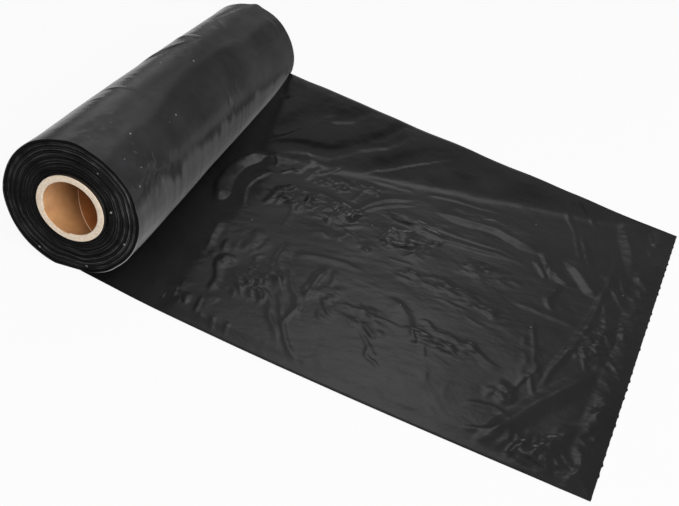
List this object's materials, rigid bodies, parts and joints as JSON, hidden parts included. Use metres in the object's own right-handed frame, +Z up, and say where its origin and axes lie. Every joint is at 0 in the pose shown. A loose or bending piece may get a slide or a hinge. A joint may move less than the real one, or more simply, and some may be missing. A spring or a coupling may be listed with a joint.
{
  "type": "roll of pet waste bags",
  "caption": "Full roll of thin black pet waste bags wound on a paperboard core, lying on its side with the leading bag drawn out flat, showing its bottom seal and torn end.",
  "frame": {"origin": "on the surface the roll rests on, straight below the middle of its axis", "axes": "+Y along the roll's axis, +X the way the leading bag is drawn out, +Z up"},
  "size_m": [0.2987, 0.2428, 0.0644],
  "materials": {
    "kraft_board": "matte, uncoated",
    "black_film": "satin gloss, thin polyethylene film"
  },
  "bodies": {
    "root": {"core_tube": "kraft_board", "bag_film": "black_film"}
  },
  "joints": []
}
